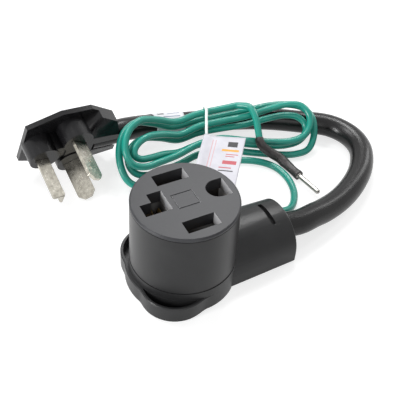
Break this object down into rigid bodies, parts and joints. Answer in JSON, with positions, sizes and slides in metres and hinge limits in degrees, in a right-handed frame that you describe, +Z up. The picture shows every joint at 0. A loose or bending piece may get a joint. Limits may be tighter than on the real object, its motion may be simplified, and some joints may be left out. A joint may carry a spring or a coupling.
{
  "type": "shore power adapter cord",
  "caption": "Short adapter cord: right-angle four-slot socket, thick black power cord, three-blade plug, and a hanked green ground wire with its tie and tag.",
  "frame": {"origin": "on the standing surface, in the middle of the socket's length and width", "axes": "+Z up, out of the socket's face; +X along the socket's neck, the way the cord leaves; +Y towards the plug and the hank"},
  "size_m": [0.204, 0.1433, 0.053],
  "materials": {
    "shell_grey": "moulded satin",
    "face_grey": "moulded satin",
    "bakelite": "moulded",
    "contact_brass": "stamped",
    "lead_black": "insulation",
    "lead_red": "insulation",
    "lead_white": "insulation",
    "wire_green": "insulation",
    "plug_black": "moulded matte",
    "nickel": "nickel plated",
    "jacket_black": "extruded matte",
    "label_white": "film",
    "sleeve_black": "shrunk sleeve",
    "tie_white": "plastic over wire",
    "tag_white": "film"
  },
  "bodies": {
    "adapter": {"socket_body": "shell_grey", "rear_cover": "shell_grey", "socket_face": "face_grey", "contact_carrier": "bakelite", "plug_bridge": "bakelite", "hot_contact_x": "contact_brass", "hot_contact_y": "contact_brass", "neutral_contact": "contact_brass", "ground_contact": "contact_brass", "socket_lead_x": "lead_black", "socket_lead_y": "lead_red", "socket_lead_neutral": "lead_white", "socket_lead_ground": "wire_green", "plug_body": "plug_black", "hot_blade_x": "nickel", "hot_blade_y": "nickel", "neutral_blade": "nickel", "plug_lead_x": "lead_black", "plug_lead_y": "lead_red", "plug_lead_neutral": "lead_white", "main_cord": "jacket_black", "cord_label": "label_white", "ground_wire": "wire_green", "ground_hank": "wire_green", "ground_tail": "wire_green", "heat_shrink": "sleeve_black", "crimp_pin": "nickel", "twist_tie": "tie_white"},
    "tag": {"tag": "tag_white"}
  },
  "joints": [
    {"name": "tag_hinge", "type": "hinge", "parent": "adapter", "child": "tag", "pos_m": [0.03795, 0.076, 0.0196], "axis": [-0.6098, -0.7832, -0.1213], "range_deg": [0, 100]}
  ]
}
